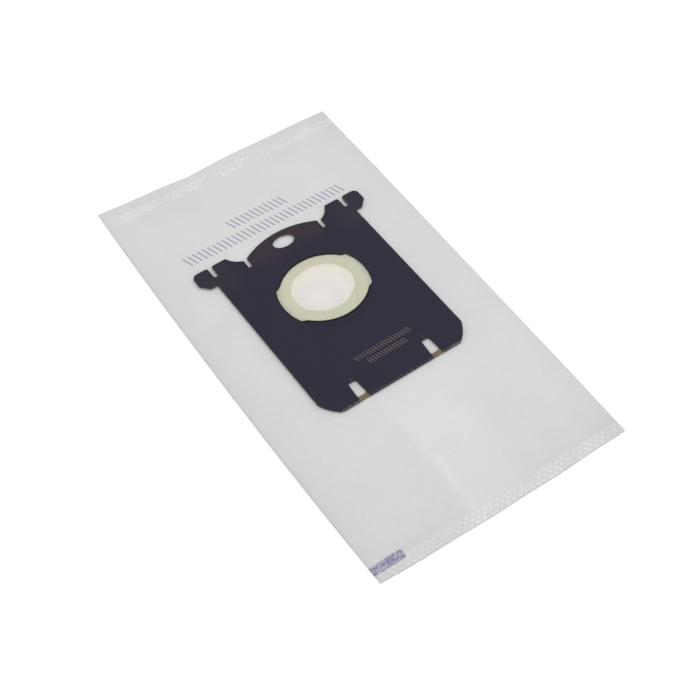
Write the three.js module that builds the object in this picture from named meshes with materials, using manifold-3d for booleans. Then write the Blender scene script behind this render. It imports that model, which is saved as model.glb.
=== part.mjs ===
// A dust bag for a vacuum cleaner, new and empty, lying flat as it comes out of its packet.
// Millimetres, +Z up. The origin is the middle of the bag's footprint on the table.
// +Y points to the end that the collar's ears face, and the collar lies on top.

import * as THREE from 'three';
import { mergeVertices } from 'three/addons/utils/BufferGeometryUtils.js';
import Module from 'manifold-3d';

// Bag: a folded tube of filter fleece, welded shut across both ends.
const bagWidth = 160;
const bagLength = 290;
const fleeceThickness = 0.9; // wall of the tube, all layers together
const weldBand = 7.6; // length of the pressed band at each end
const topSelvage = 5.5; // plain edge outside the band at the top
const weldThickness = 1.2; // both walls pressed into one
const foldSlack = 0.6; // between the walls along the folded long edges
const dustSpaceDepth = 4.6; // between the walls where the collar is glued on
const closingGap = 0.2; // between the walls where they run into a weld
const sideRun = 20; // from a long edge to the full height
const endRun = 56; // from a weld to the full height

// Raised marks that the welding tool leaves in the pressed bands, in staggered rows.
const markPitch = 4;
const markWidth = 2.2;
const markLength = 1.5;
const markHeight = 0.2;
const markRows = 3;

// Slack in the front wall: one crease down to the bottom weld, and puckers beside both welds.
const creaseX = -20;
const creaseHeight = 1.5;
const creaseLeftFlank = 40; // width of each side
const creaseRightFlank = 30;
const creaseStart = 2; // clear of the collar's fold
const creaseFade = 22; // length over which it dies out
const puckerPitch = 27;
const puckerHeight = 0.35;
const puckerReach = 26; // from a weld

// Collar: one board blank, folded double, glued on the front wall.
const leaf = 0.6; // one thickness of the board
const collarWidth = 98;
const collarHeight = 124.8; // from the fold to the tops of the ears
const lowerLeafHeight = 110; // the lower leaf ends short of the tongue and the ears
const outOfSquare = 0.013; // rise of the far edge per millimetre across
const foldToInlet = 74.9; // from the fold to the middle of the inlet
const inletX = -2; // middle of the inlet, measured from the middle of the bag
const inletY = 20.8;
const collarTurn = 1.2; // degrees, as glued
const cornerCutAcross = 9.2; // corners cut off beside the fold
const cornerCutAlong = 11.2;
const cornerSwell = 0.34; // how full the cut is: at 0.5 it is straight, at 0 a full round

// Ears: hooks at the two far corners, parted from the shoulders by slits.
const earReach = 9.4; // beyond the side of the collar
const earWidth = 10.6;
const earDepth = 13.6;
const earBevel = 4.8;
const earRound = 3.3;
const earSlitWidth = 2.8;
const earSlitDepth = 8.1;
const slitCornerRound = 1.4; // at the mouth of that slit

// Shoulders and the springy tongue between them.
const shoulderWidth = 9.7;
const shoulderSweep = 7.4; // how far the hollow beside it drops
const cornerRound = 0.9;
const tongueWidth = 49.9;
const tongueRise = 6.3; // of its bowed edge
const tongueSetback = 0.6; // of that edge behind the shoulders
const tongueSlitWidth = 2.5;
const tongueSlitDepth = 6.5;
const fingerHoleWidth = 14.2;
const fingerHoleHeight = 8.6;
const fingerHoleSetback = 8.4; // its middle behind the tops of the ears

// Slots beside the fold. They run out over the fold in the upper leaf only.
const slotWidth = 7.1; // at the fold
const slotEndWidth = 5.6; // at the far end
const slotSpacing = 50;
const slotShift = -0.4; // of both, from the middle of the collar
const slotReach = 13.2; // from the fold to the slot's far end
const slotRound = 1.5;
const slotBridge = 3.2; // board that the lower leaf keeps beside the fold
const slotBevel = 1.3;

// Inlet: a round hole with a crescent flap left at the top and at the bottom.
const inletDiameter = 55.2;
const fleeceMargin = 2.6; // fleece that shows inside the lower leaf's hole
const flapDepth = 4.65; // how far a flap reaches in from the round hole
const flapFlatness = 2.4; // what the radius of its free edge has over the hole's
const notchWidth = 2.1; // how far a flap's ends stand in from the round side
const notchDrop = 1.4;

// Sealing membrane, held between the two leaves.
const membrane = 0.4;
const membraneGrip = 6.4; // rim held all round the hole
const membraneHoleWidth = 39.5;
const membraneHoleHeight = 32.4;
const membraneClearance = 0.3;

// Number of facets: round a fold, from a fold to the crown, across the crown, and from a
// weld to the full height.
const foldSteps = 5;
const sideSteps = 6;
const crownSteps = 24;
const endSteps = 11;

const foldThickness = 2 * fleeceThickness + foldSlack;
const bagFullness = 2 * fleeceThickness + dustSpaceDepth;
const topY = bagLength / 2;
const topWeldY = topY - topSelvage - weldBand;
const bottomWeldY = weldBand - topY;
const crownHalf = bagWidth / 2 - sideRun;
const creaseTopY = inletY - foldToInlet - creaseStart;
const board = 2 * leaf + membrane;
const collarHalf = collarWidth / 2;
const foldY = -foldToInlet;
const earTopY = collarHeight - foldToInlet;
const earHalf = collarHalf + earReach;

const wasm = await Module();
wasm.setup();

function solidFrom(geometry) {
  const bare = geometry.clone();
  bare.deleteAttribute('normal');
  bare.deleteAttribute('uv');
  const merged = mergeVertices(bare, 1e-5);
  const vertProperties = new Float32Array(merged.attributes.position.array);
  const triVerts = new Uint32Array(merged.index.array);
  return new wasm.Manifold(new wasm.Mesh({ numProp: 3, vertProperties, triVerts }));
}

function geometryFrom(solid) {
  const mesh = solid.getMesh();
  const geometry = new THREE.BufferGeometry();
  geometry.setAttribute('position', new THREE.BufferAttribute(mesh.vertProperties, 3));
  geometry.setIndex(new THREE.BufferAttribute(mesh.triVerts, 1));
  geometry.computeVertexNormals();
  return geometry;
}

function extrude(shape, fromZ, toZ, curveSegments = 16) {
  const geometry = new THREE.ExtrudeGeometry(shape, {
    depth: toZ - fromZ,
    bevelEnabled: false,
    curveSegments,
  });
  geometry.translate(0, 0, fromZ);
  return solidFrom(geometry);
}

// Rises steeply at first and levels out, as a slack wall does beside a seam.
function easeOut(t) {
  return Math.sin((THREE.MathUtils.clamp(t, 0, 1) * Math.PI) / 2);
}

function smooth(t) {
  return THREE.MathUtils.smoothstep(t, 0, 1);
}

// Distance from the nearer weld, towards the middle of the bag.
function fromWeld(y) {
  return Math.max(0, Math.min(topWeldY - y, y - bottomWeldY));
}

// Heights over the table at one station along the bag, at its long edges and in the middle.
function heights(y) {
  const filled = easeOut(fromWeld(y) / endRun);
  return {
    edge: THREE.MathUtils.lerp(weldThickness, foldThickness, filled),
    crown: THREE.MathUtils.lerp(weldThickness, bagFullness, filled),
  };
}

// What the crease and the puckers add to the front wall. Both stay clear of the collar.
function slack(x, y) {
  const beside = x - creaseX;
  const width = beside < 0 ? creaseLeftFlank : creaseRightFlank;
  const flank = Math.max(0, 1 - Math.abs(beside) / width) ** 2;
  const along = smooth((creaseTopY - y) / creaseFade) * smooth(fromWeld(y) / creaseFade);
  const reach = fromWeld(y) / puckerReach;
  const swell = Math.sin(Math.PI * smooth(reach)) * smooth((crownHalf - Math.abs(x)) / sideRun);
  const wave = Math.cos((2 * Math.PI * x) / puckerPitch);
  return creaseHeight * flank * along + puckerHeight * swell * wave;
}

// Height of the front wall's outer face at a point inside the folded edges.
function frontHeight(x, y, fromEdge) {
  const { edge, crown } = heights(y);
  return edge + (crown - edge) * easeOut(fromEdge) + slack(x, y);
}

// Ring of points round the bag at one station: flat underneath, a rounded fold at
// each long edge, and the front wall between them.
function outerRing(y) {
  const radius = heights(y).edge / 2;
  const half = bagWidth / 2;
  const fold = [];
  for (let i = 0; i < foldSteps; i += 1) {
    const angle = -Math.PI / 2 + (Math.PI * i) / foldSteps;
    fold.push([half - radius + radius * Math.cos(angle), radius + radius * Math.sin(angle)]);
  }
  const front = frontColumns(half - radius).map(([x, t]) => [x, frontHeight(x, y, t)]);
  return closeRing(fold, front, y);
}

// The same ring for the dust space, one wall further in.
function innerRing(y) {
  const floor = Math.min(fleeceThickness, (heights(y).edge - closingGap) / 2);
  const half = bagWidth / 2 - foldThickness / 2 - fleeceThickness;
  const front = frontColumns(half).map(([x, t]) => [x, frontHeight(x, y, t) - floor]);
  return closeRing([[half, floor]], front, y);
}

// Places across the front wall, right to left, each with how far it is from a fold (0)
// to the crown (1).
function frontColumns(half) {
  const right = [];
  for (let i = 0; i < sideSteps; i += 1) {
    const t = i / sideSteps;
    right.push([THREE.MathUtils.lerp(half, crownHalf, t), t]);
  }
  const crown = [];
  for (let i = 0; i <= crownSteps; i += 1) {
    crown.push([THREE.MathUtils.lerp(crownHalf, -crownHalf, i / crownSteps), 1]);
  }
  return [...right, ...crown, ...right.map(([x, t]) => [-x, t]).reverse()];
}

function closeRing(rightFold, front, y) {
  const leftFold = rightFold.map(([x, z]) => [-x, z]).reverse();
  return [...rightFold, ...front, ...leftFold].map(([x, z]) => new THREE.Vector3(x, y, z));
}

// Skin drawn over a row of rings, with a flat cap at each end.
function loft(rings) {
  const count = rings[0].length;
  const points = rings.flat();
  const faces = [];
  for (let r = 0; r < rings.length - 1; r += 1) {
    for (let i = 0; i < count; i += 1) {
      const next = (i + 1) % count;
      const a = r * count + i;
      const b = r * count + next;
      faces.push([a, a + count, b], [b, a + count, b + count]);
    }
  }
  const capShape = rings[0].map((p) => new THREE.Vector2(p.x, p.z));
  const lastShape = rings[rings.length - 1].map((p) => new THREE.Vector2(p.x, p.z));
  const last = (rings.length - 1) * count;
  for (const [a, b, c] of THREE.ShapeUtils.triangulateShape(capShape, [])) {
    faces.push([a, b, c]);
  }
  for (const [a, b, c] of THREE.ShapeUtils.triangulateShape(lastShape, [])) {
    faces.push([last + a, last + c, last + b]);
  }
  const geometry = new THREE.BufferGeometry().setFromPoints(points);
  geometry.setIndex(faces.flat());
  return solidFrom(geometry);
}

function stations(fromY, toY) {
  const list = [];
  for (let i = 0; i <= endSteps; i += 1) {
    list.push(THREE.MathUtils.lerp(fromY, toY, i / endSteps));
  }
  return list;
}

// Every station between the welds, in order, close together where the height changes.
function stationsBetweenWelds() {
  const list = [
    ...stations(bottomWeldY, bottomWeldY + endRun),
    ...stations(creaseTopY - creaseFade, creaseTopY),
    ...stations(topWeldY - endRun, topWeldY),
  ].sort((a, b) => a - b);
  return list.filter((y, i) => i === 0 || y - list[i - 1] > closingGap);
}

// One welded band's marks: low frustums on diamond bases, sunk a little into the band.
function weldMarks(bandY) {
  const sink = markHeight / 2;
  const across = Math.floor((bagWidth - foldThickness) / markPitch) - 1;
  const marks = [];
  for (let row = 0; row < markRows; row += 1) {
    const y = bandY + (weldBand * (row + 0.5)) / markRows;
    const count = across - (row % 2);
    for (let i = 0; i < count; i += 1) {
      const mark = new THREE.CylinderGeometry(0.25, 0.5, markHeight + sink, 4);
      mark.rotateX(Math.PI / 2);
      mark.scale(markWidth, markLength, 1);
      mark.translate((i - (count - 1) / 2) * markPitch, y, weldThickness + (markHeight - sink) / 2);
      marks.push(solidFrom(mark));
    }
  }
  return wasm.Manifold.union(marks);
}

function bagSolid() {
  const between = stationsBetweenWelds();
  const outside = loft([-topY, ...between, topY].map(outerRing));
  const dustSpace = loft(between.map(innerRing));
  const cut = new THREE.Shape();
  cut.absarc(inletX, inletY, inletDiameter / 2 - fleeceMargin, 0, 2 * Math.PI);
  const inlet = extrude(cut, bagFullness / 2, bagFullness + fleeceThickness, 32);
  const hollow = outside.subtract(dustSpace).subtract(inlet);
  return hollow.add(weldMarks(-topY)).add(weldMarks(topWeldY));
}

// Outline of the blank. Its far edge runs a little out of square with the fold.
function blankShape() {
  const shape = new THREE.Shape();
  const right = blankHalf();
  const outline = [...right, ...right.map((p) => new THREE.Vector2(-p.x, p.y)).reverse()];
  for (const point of outline.filter((p) => p.y > earTopY - earDepth - cornerRound)) {
    point.y += point.x * outOfSquare;
  }
  shape.setFromPoints(outline);
  return shape;
}

// One half of it, from the middle of the tongue out to the fold.
function blankHalf() {
  const path = new THREE.Path();
  const tongueTop = earTopY - tongueSetback;
  const tongueHalf = tongueWidth / 2;
  const tongueRadius = (tongueHalf ** 2 + tongueRise ** 2) / (2 * tongueRise);
  const tongueAngle = Math.asin(tongueHalf / tongueRadius);
  const tongueCorner = tongueTop - tongueRise;
  const slitFloor = tongueCorner - tongueSlitDepth;
  const slitOuter = tongueHalf + tongueSlitWidth;
  const slitR = earSlitWidth / 2;
  const slitMiddle = earHalf - earWidth - slitR;
  const shoulderIn = slitMiddle - slitR - shoulderWidth;
  const shoulderFoot = earTopY - shoulderSweep;
  const hollow = shoulderIn - slitOuter;
  const earBottom = earTopY - earDepth;
  path.absarc(0, tongueTop - tongueRadius, tongueRadius, Math.PI / 2, Math.PI / 2 - tongueAngle, true);
  path.lineTo(tongueHalf, slitFloor);
  path.lineTo(slitOuter, slitFloor);
  path.lineTo(slitOuter, shoulderFoot);
  path.quadraticCurveTo(
    slitOuter + hollow * 0.7,
    shoulderFoot + shoulderSweep * 0.28,
    shoulderIn - cornerRound / 2,
    earTopY - cornerRound,
  );
  path.quadraticCurveTo(shoulderIn, earTopY, shoulderIn + cornerRound, earTopY);
  const mouth = slitR + slitCornerRound;
  const cornerY = earTopY - slitCornerRound;
  path.lineTo(slitMiddle - mouth, earTopY);
  path.absarc(slitMiddle - mouth, cornerY, slitCornerRound, Math.PI / 2, 0, true);
  path.absarc(slitMiddle, earTopY - earSlitDepth + slitR, slitR, Math.PI, 2 * Math.PI);
  path.absarc(slitMiddle + mouth, cornerY, slitCornerRound, Math.PI, Math.PI / 2, true);
  path.absarc(earHalf - earRound, earTopY - earRound, earRound, Math.PI / 2, 0, true);
  path.lineTo(earHalf, earBottom + earBevel);
  path.lineTo(earHalf - earBevel, earBottom);
  path.lineTo(collarHalf, earBottom);
  path.lineTo(collarHalf, foldY + cornerCutAlong);
  path.quadraticCurveTo(
    collarHalf - cornerCutAcross * cornerSwell,
    foldY + cornerCutAlong * cornerSwell,
    collarHalf - cornerCutAcross,
    foldY,
  );
  return dropRepeats(path.getPoints(8).slice(1));
}

function dropRepeats(points) {
  return points.filter((p, i) => i === 0 || p.distanceTo(points[i - 1]) > 1e-4);
}

// Opening of the upper leaf: the round sides, stepping in to the two flaps.
function inletShape() {
  const shape = new THREE.Shape();
  const round = inletDiameter / 2;
  const arc = round + flapFlatness;
  const centre = round - flapDepth - arc;
  const endRadius = round - notchWidth;
  const endY = (centre ** 2 - arc ** 2 + endRadius ** 2) / (2 * centre);
  const flapAngle = Math.acos((endY - centre) / arc);
  const sideAngle = Math.asin((endY - notchDrop) / round);
  const up = Math.PI / 2;
  shape.absarc(0, 0, round, -sideAngle, sideAngle);
  shape.absarc(0, centre, arc, up - flapAngle, up + flapAngle);
  shape.absarc(0, 0, round, Math.PI - sideAngle, Math.PI + sideAngle);
  shape.absarc(0, -centre, arc, -up - flapAngle, -up + flapAngle);
  return shape;
}

function circleShape(diameter) {
  return new THREE.Shape().absarc(0, 0, diameter / 2, 0, 2 * Math.PI);
}

function ovalShape(x, y, width, height) {
  return new THREE.Shape().absellipse(x, y, width / 2, height / 2, 0, 2 * Math.PI);
}

// A slot that narrows towards its rounded far end and runs out over the fold.
function slotShape(x, over) {
  const half = slotWidth / 2;
  const farHalf = slotEndWidth / 2 - slotRound;
  const roundY = foldY + slotReach - slotRound;
  const shape = new THREE.Shape();
  shape.moveTo(x - half, foldY - over);
  shape.lineTo(x + half, foldY - over);
  shape.lineTo(x + half, foldY);
  shape.absarc(x + farHalf, roundY, slotRound, 0, Math.PI / 2);
  shape.absarc(x - farHalf, roundY, slotRound, Math.PI / 2, Math.PI);
  shape.lineTo(x - half, foldY);
  return shape;
}

// What the lower leaf keeps of a slot beside the fold, with bevels up its sides.
function bridgeShape(x, over) {
  const half = slotWidth / 2 - slotBevel;
  const top = foldY + slotBridge;
  const shape = new THREE.Shape();
  shape.moveTo(x - half - over, foldY - over);
  shape.lineTo(x + half + over, foldY - over);
  shape.lineTo(x + half + over, top + over);
  shape.lineTo(x + half, top);
  shape.lineTo(x - half, top);
  shape.lineTo(x - half - over, top + over);
  return shape;
}

// Side view of the folded blank: two leaves that meet in a round bend at the fold. Only the
// upper one goes on to the tongue and the ears.
function foldedProfile() {
  const bend = board / 2;
  const farY = earTopY + earDepth;
  const lowerTop = foldY + lowerLeafHeight;
  const shape = new THREE.Shape();
  shape.moveTo(lowerTop, 0);
  shape.lineTo(lowerTop, board - leaf);
  shape.lineTo(farY, board - leaf);
  shape.lineTo(farY, board);
  shape.absarc(foldY + bend, bend, bend, Math.PI / 2, (3 * Math.PI) / 2);
  return shape;
}

function profileAcross(shape, width) {
  const geometry = new THREE.ExtrudeGeometry(shape, {
    depth: width,
    bevelEnabled: false,
    curveSegments: 8,
  });
  // The drawing's two axes become Y and Z, and the extrusion runs along X.
  const axes = new THREE.Matrix4().set(0, 0, 1, -width / 2, 1, 0, 0, 0, 0, 1, 0, 0, 0, 0, 0, 1);
  geometry.applyMatrix4(axes);
  return solidFrom(geometry);
}

function collarSolid() {
  const over = 2;
  const blank = extrude(blankShape(), -over, board + over, 8);
  let body = profileAcross(foldedProfile(), 2 * (earHalf + over)).intersect(blank);
  const inGap = leaf + membrane / 2; // the two cuts overlap here, so that no skin is left
  body = body.subtract(extrude(circleShape(inletDiameter), -over, inGap, 36));
  body = body.subtract(extrude(inletShape(), leaf, board + over, 20));
  const pocket = inletDiameter + 2 * (membraneGrip + membraneClearance);
  body = body.subtract(extrude(circleShape(pocket), leaf, leaf + membrane, 32));
  const holeY = earTopY - fingerHoleSetback;
  const finger = ovalShape(0, holeY, fingerHoleWidth, fingerHoleHeight);
  body = body.subtract(extrude(finger, -over, board + over, 20));
  for (const side of [-1, 1]) {
    const x = slotShift + (side * slotSpacing) / 2;
    const slot = extrude(slotShape(x, over), -over, board + over, 5);
    body = body.subtract(slot.subtract(extrude(bridgeShape(x, over), -2 * over, leaf)));
  }
  return body;
}

function membraneSolid() {
  const ring = circleShape(inletDiameter + 2 * membraneGrip);
  ring.holes.push(ovalShape(0, 0, membraneHoleWidth, membraneHoleHeight));
  return extrude(ring, 0, membrane, 32);
}

function piece(name, solid, colour, roughness) {
  const material = new THREE.MeshStandardMaterial({ color: colour, roughness, metalness: 0 });
  const mesh = new THREE.Mesh(geometryFrom(solid), material);
  mesh.name = name;
  return mesh;
}

const dustBag = new THREE.Group();
dustBag.add(piece('filter_bag', bagSolid(), 0xd8d8d9, 0.95));

const collar = new THREE.Group();
collar.position.set(inletX, inletY, bagFullness);
collar.rotation.z = THREE.MathUtils.degToRad(collarTurn);
collar.add(piece('collar_board', collarSolid(), 0x35313f, 0.6));

const seal = piece('seal_membrane', membraneSolid(), 0xcbc9b2, 0.55);
seal.position.z = leaf;
collar.add(seal);
dustBag.add(collar);

export default dustBag;
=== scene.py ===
# %% [markdown]
# # A vacuum cleaner's dust bag
# The object is a flat, empty bag of off-white fleece with a dark board collar glued on its
# front wall and a pale elastic film behind the collar's hole. This notebook dresses the
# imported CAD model: the fleece bag, the collar and the film are each made again with the
# soft edges, slack and wear of the real ones, exactly where the CAD solids are.

# %% Frame
import math

import bmesh
import bpy
import numpy as np
from mathutils import Euler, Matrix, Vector


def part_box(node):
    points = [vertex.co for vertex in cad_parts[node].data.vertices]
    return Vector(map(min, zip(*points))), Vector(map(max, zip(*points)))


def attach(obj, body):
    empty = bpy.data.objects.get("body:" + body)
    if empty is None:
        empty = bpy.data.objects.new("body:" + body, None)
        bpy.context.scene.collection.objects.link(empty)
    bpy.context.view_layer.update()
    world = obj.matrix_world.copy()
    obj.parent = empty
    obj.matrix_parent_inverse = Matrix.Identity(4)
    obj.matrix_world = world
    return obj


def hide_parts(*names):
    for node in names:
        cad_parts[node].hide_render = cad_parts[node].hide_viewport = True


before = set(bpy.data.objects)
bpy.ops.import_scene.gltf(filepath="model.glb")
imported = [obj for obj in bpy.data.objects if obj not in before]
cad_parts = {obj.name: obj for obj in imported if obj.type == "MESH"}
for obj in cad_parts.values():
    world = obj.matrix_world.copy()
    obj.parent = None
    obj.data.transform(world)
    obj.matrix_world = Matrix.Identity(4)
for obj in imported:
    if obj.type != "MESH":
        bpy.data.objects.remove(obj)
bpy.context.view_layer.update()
scene = bpy.context.scene
MM = 0.001

# %% [markdown]
# ## Sizes
# The bag and the collar are soft enough to differ a little from the CAD solids, but their
# main sizes come from the frame: the bag's width, length and fullness from its node's box,
# and the collar's height from where its underside lies. All sizes below are in
# millimetres, and meshes are scaled to metres when they are made.

# %% Main sizes
bag_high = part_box("filter_bag")[1]
board_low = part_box("collar_board")[0]
film_low, film_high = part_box("seal_membrane")

BAG_HALF_WIDTH = bag_high.x / MM
BAG_HALF_LENGTH = bag_high.y / MM
BAG_FULLNESS = board_low.z / MM
INLET = Vector(((film_low.x + film_high.x) / 2 / MM, (film_low.y + film_high.y) / 2 / MM))
COLLAR_TURN = math.radians(1.2)
TURN_COS, TURN_SIN = math.cos(COLLAR_TURN), math.sin(COLLAR_TURN)

LEAF = 0.6
FLEECE = 0.9
WELD_THICKNESS = 1.2
FOLD_THICKNESS = 2.4
BOTTOM_BAND = 6.8
TOP_BAND = 6.6
TOP_SELVAGE = 7.4
SIDE_RUN = 20
END_RUN = 56
FLEECE_HOLE = 25.0

TOP_WELD = BAG_HALF_LENGTH - TOP_SELVAGE - TOP_BAND
BOTTOM_WELD = BOTTOM_BAND - BAG_HALF_LENGTH
print("bag", BAG_HALF_WIDTH * 2, BAG_HALF_LENGTH * 2, BAG_FULLNESS, "inlet", INLET)

# %% [markdown]
# ## Camera
# The photograph was taken from above the bag's lower left corner. Fitting the bag's four
# corners with a pinhole camera gave the place, the direction, a small roll and the
# focal length. The camera looks at a point on the table and is rolled about its own axis.

# %% Camera
CAMERA_PLACE = Vector((-269.34, -371.59, 610.88)) * MM
CAMERA_TARGET = Vector((-11.65, -19.26, 0.0)) * MM
CAMERA_ROLL = math.radians(2.0)
FOCAL_PIXELS = 1343.9
PHOTO_PIXELS = 700


def put_in_scene(name, data):
    obj = bpy.data.objects.new(name, data)
    scene.collection.objects.link(obj)
    return obj


camera_data = bpy.data.cameras.new("camera")
camera_data.sensor_width = 36
camera_data.lens = camera_data.sensor_width * FOCAL_PIXELS / PHOTO_PIXELS
camera_data.clip_start = 0.01
camera = put_in_scene("camera", camera_data)
aim = (CAMERA_TARGET - CAMERA_PLACE).to_track_quat("-Z", "Y")
camera.rotation_euler = (aim.to_matrix() @ Euler((0, 0, CAMERA_ROLL)).to_matrix()).to_euler()
camera.location = CAMERA_PLACE
scene.camera = camera
print("camera", camera.location, "lens", round(camera_data.lens, 2))


# %% [markdown]
# ## The fleece bag
# The real bag is a tube of non-woven fleece, pressed flat and welded across both ends. It
# could be a cloth simulation, but an empty bag hardly moves: what shows is a low pillow
# with slack in its front wall. So the front wall is one height field, built from the
# same rises as the solid, and the slack is added on top: one long crease from the collar
# down to the bottom weld, a low lip where the wall leaves each weld, puckers where the
# welds gather the fleece, and slow, soft unevenness. Under the collar the wall stays
# flat, because the collar is glued there.

# %% Helpers for the heights
NOISE_WAVES = 9


def ease_out(t):
    return np.sin(np.clip(t, 0, 1) * math.pi / 2)


def smooth(t):
    t = np.clip(t, 0, 1)
    return t * t * (3 - 2 * t)


def soft_noise(x, y, size, seed):
    """Smooth unevenness of about the given size in mm, from a few crossing waves."""
    dice = np.random.default_rng(seed)
    total = np.zeros(np.broadcast(x, y).shape)
    for _ in range(NOISE_WAVES):
        angle = dice.uniform(0, math.pi)
        length = size * dice.uniform(0.7, 1.6)
        phase = dice.uniform(0, 2 * math.pi)
        along = x * math.cos(angle) + y * math.sin(angle)
        total += np.cos(2 * math.pi * along / length + phase)
    return total / math.sqrt(NOISE_WAVES)


def to_collar(x, y):
    """Bag coordinates turned and moved into the collar's own, with the inlet at zero."""
    dx, dy = x - INLET.x, y - INLET.y
    return dx * TURN_COS + dy * TURN_SIN, dy * TURN_COS - dx * TURN_SIN


# %% Where the collar keeps the wall flat
COLLAR_HALF_WIDTH = 50
COLLAR_BELOW_INLET = 76
COLLAR_ABOVE_INLET = 48
CALM_MARGIN = 9


def slackness(x, y):
    """0 under the collar, 1 well clear of it."""
    cx, cy = to_collar(x, y)
    past_side = np.abs(cx) - COLLAR_HALF_WIDTH
    past_end = np.maximum(cy - COLLAR_ABOVE_INLET, -COLLAR_BELOW_INLET - cy)
    outside = np.hypot(np.maximum(past_side, 0), np.maximum(past_end, 0))
    return smooth(outside / CALM_MARGIN)


# %% Heights of the front wall
CREASE_X = -19.4
CREASE_LEAN = 0.055
CREASE_LEAN_FROM = -118
CREASE_HEIGHT = 1.9
CREASE_LEFT = 46
CREASE_RIGHT = 34
CREASE_FADE = 30
CALM_BY_WELD = 16
CALM_BY_FOLD = 16


def from_weld(y):
    return np.maximum(0, np.minimum(TOP_WELD - y, y - BOTTOM_WELD))


def swollen(y, full):
    """The weld's thickness, growing to the full height away from it."""
    return WELD_THICKNESS + (full - WELD_THICKNESS) * ease_out(from_weld(y) / END_RUN)


def edge_height(y):
    return swollen(y, FOLD_THICKNESS)


def crease(x, y):
    bent = CREASE_X - CREASE_LEAN * np.maximum(y - CREASE_LEAN_FROM, 0)
    beside = x - bent
    width = np.where(beside < 0, CREASE_LEFT, CREASE_RIGHT)
    flank = np.clip(1 - np.abs(beside) / width, 0, 1) ** 2
    below = INLET.y - COLLAR_BELOW_INLET - y
    calm = smooth(from_weld(y) / CALM_BY_WELD)
    return CREASE_HEIGHT * flank * smooth(below / CREASE_FADE) * calm


# %% Small forms along the welds
LIP_HEIGHT = 0.9
LIP_RUN = 5.0
LIP_LEFT, LIP_RIGHT = -12, 18
LIP_SIDE_RUN = 14
LIP_MIDDLE_SHARE = 0.15
LIP_TOP_SHARE = 0.35
PUCKER_PITCH = 23
PUCKER_HEIGHT = 0.34
PUCKER_REACH = 24
PUCKER_BEND = 3


def lip(x, y):
    """The wall springs up where it leaves a weld, more at the sides than in the middle."""
    left, right = (LIP_LEFT - x) / LIP_SIDE_RUN, (x - LIP_RIGHT) / LIP_SIDE_RUN
    side = np.maximum(smooth(left), smooth(right))
    bottom = LIP_MIDDLE_SHARE + (1 - LIP_MIDDLE_SHARE) * side
    strength = np.where(y < 0, bottom, LIP_TOP_SHARE)
    near = smooth(from_weld(y) / LIP_RUN) * (1 - smooth(from_weld(y) / END_RUN))
    return LIP_HEIGHT * strength * near


def puckers(x, y):
    """Small folds that run out from each weld, uneven in height and a little bent."""
    reach = smooth(from_weld(y) / PUCKER_REACH)
    swell = np.sin(math.pi * reach) * smooth((BAG_HALF_WIDTH - np.abs(x)) / CALM_BY_FOLD)
    uneven = 0.55 + 0.45 * np.cos(x / 31 + np.sign(y))
    bend = PUCKER_BEND * np.sin(x / 17 + y / 40)
    return PUCKER_HEIGHT * swell * uneven * np.cos(2 * math.pi * (x + bend) / PUCKER_PITCH)


# %% The whole height
UNEVEN = ((0.16, 46, 3), (0.07, 19, 4))  # height, size and seed
SLACK_BY_WELD = 14


def front_height(x, y, from_edge):
    rise = (swollen(y, BAG_FULLNESS) - edge_height(y)) * ease_out(from_edge)
    rise = rise + lip(x, y) * smooth(from_edge * 1.5)
    calm = slackness(x, y) * smooth(from_weld(y) / SLACK_BY_WELD) * smooth(from_edge * 2)
    uneven = sum(high * soft_noise(x, y, size, seed) for high, size, seed in UNEVEN)
    return edge_height(y) + rise + calm * (crease(x, y) + puckers(x, y) + uneven)


# %% [markdown]
# ### The outline
# The bag's edges aren't ruler-straight. The left fold bows out most, the right one leans out
# towards the bottom, the bottom edge sags a little, and the top edge has a shallow hollow
# left of its middle with a small dent in it. Each point of the flat bag is moved by these
# amounts, in full at the edge and less towards the middle.

# %% Outline
LEFT_BOW = 3.25
BOW_MIDDLE = 0.08
RIGHT_OUT = 0.55
RIGHT_LEAN = 0.65
BOTTOM_OUT = 0.45
BOTTOM_BOW = 1.3
TOP_IN = 0.55
TOP_CORNER = 0.8
TOP_HOLLOW, TOP_HOLLOW_WIDTH = 1.35, 22
TOP_DENT, TOP_DENT_WIDTH = 0.5, 5
TOP_DENT_X = -22
END_WANDER, END_WANDER_RUN = 0.15, 7.3


def outline_shift(x, y):
    across = x / BAG_HALF_WIDTH
    along = y / BAG_HALF_LENGTH
    bow = 1 - 0.75 * np.abs(along - BOW_MIDDLE) ** 2.4
    left = -LEFT_BOW * np.clip(-across, 0, 1) ** 3 * bow
    right = (RIGHT_OUT - RIGHT_LEAN * along) * np.clip(across, 0, 1) ** 3
    bottom = -np.clip(-along, 0, 1) ** 6 * (BOTTOM_OUT + BOTTOM_BOW * (1 - across ** 2))
    beside = x - TOP_DENT_X
    hollow = TOP_HOLLOW * np.exp(-(beside / TOP_HOLLOW_WIDTH) ** 2)
    dent = TOP_DENT * np.exp(-(beside / TOP_DENT_WIDTH) ** 2)
    corner = TOP_CORNER * np.clip(-across, 0, 1) ** 4
    top = np.clip(along, 0, 1) ** 24 * (corner - TOP_IN - (hollow + dent))
    wander = END_WANDER * np.sin(x / END_WANDER_RUN) * np.abs(along) ** 30
    return left + right, bottom + top + wander


def follow_outline(points):
    """Moves the points of a straight-edged bag to the real outline."""
    shift_x, shift_y = outline_shift(points[:, 0], points[:, 1])
    points[:, 0] += shift_x
    points[:, 1] += shift_y
    return points


# %% [markdown]
# ### The skins
# The bag is a closed shell: an outer skin, an inner skin one wall further in, and the cut
# edge of the inlet hole that joins them. Both skins are rows of rings along the bag with
# the same columns, so the two edges of the hole have the same points and can be joined one
# to one. Where the walls run together, the inner skin keeps a hair's gap.

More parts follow.
